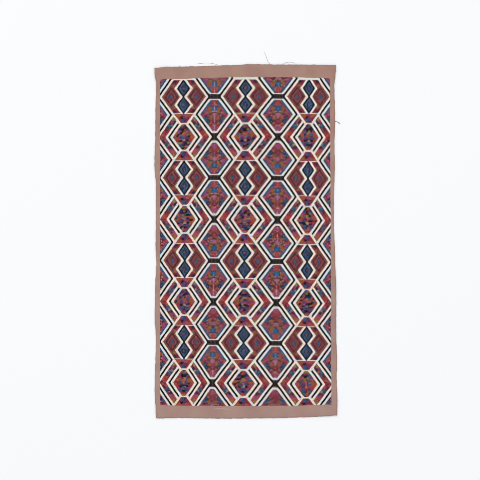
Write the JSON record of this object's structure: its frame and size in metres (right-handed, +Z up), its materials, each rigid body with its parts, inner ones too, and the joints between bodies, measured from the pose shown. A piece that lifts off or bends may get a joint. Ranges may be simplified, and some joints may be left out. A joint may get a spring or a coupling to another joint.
{
  "type": "brocade cloth panel",
  "caption": "Flat cut panel of brocade cloth with a plain border and a field of interlocking hexagons, diamonds and chevrons, laid face up.",
  "frame": {"origin": "centre of the bounding box in plan, on the surface the cloth lies on", "axes": "+Y along the cloth's long way, towards the end shown at the top of the picture; +X across it, to the right in the picture; +Z up, out of the patterned face"},
  "size_m": [0.5194, 1.0064, 0.0044],
  "materials": {
    "brocade": "matt woven cotton ground with softly lustrous floating pattern threads"
  },
  "bodies": {
    "root": {"brocade_panel": "brocade"}
  },
  "joints": []
}
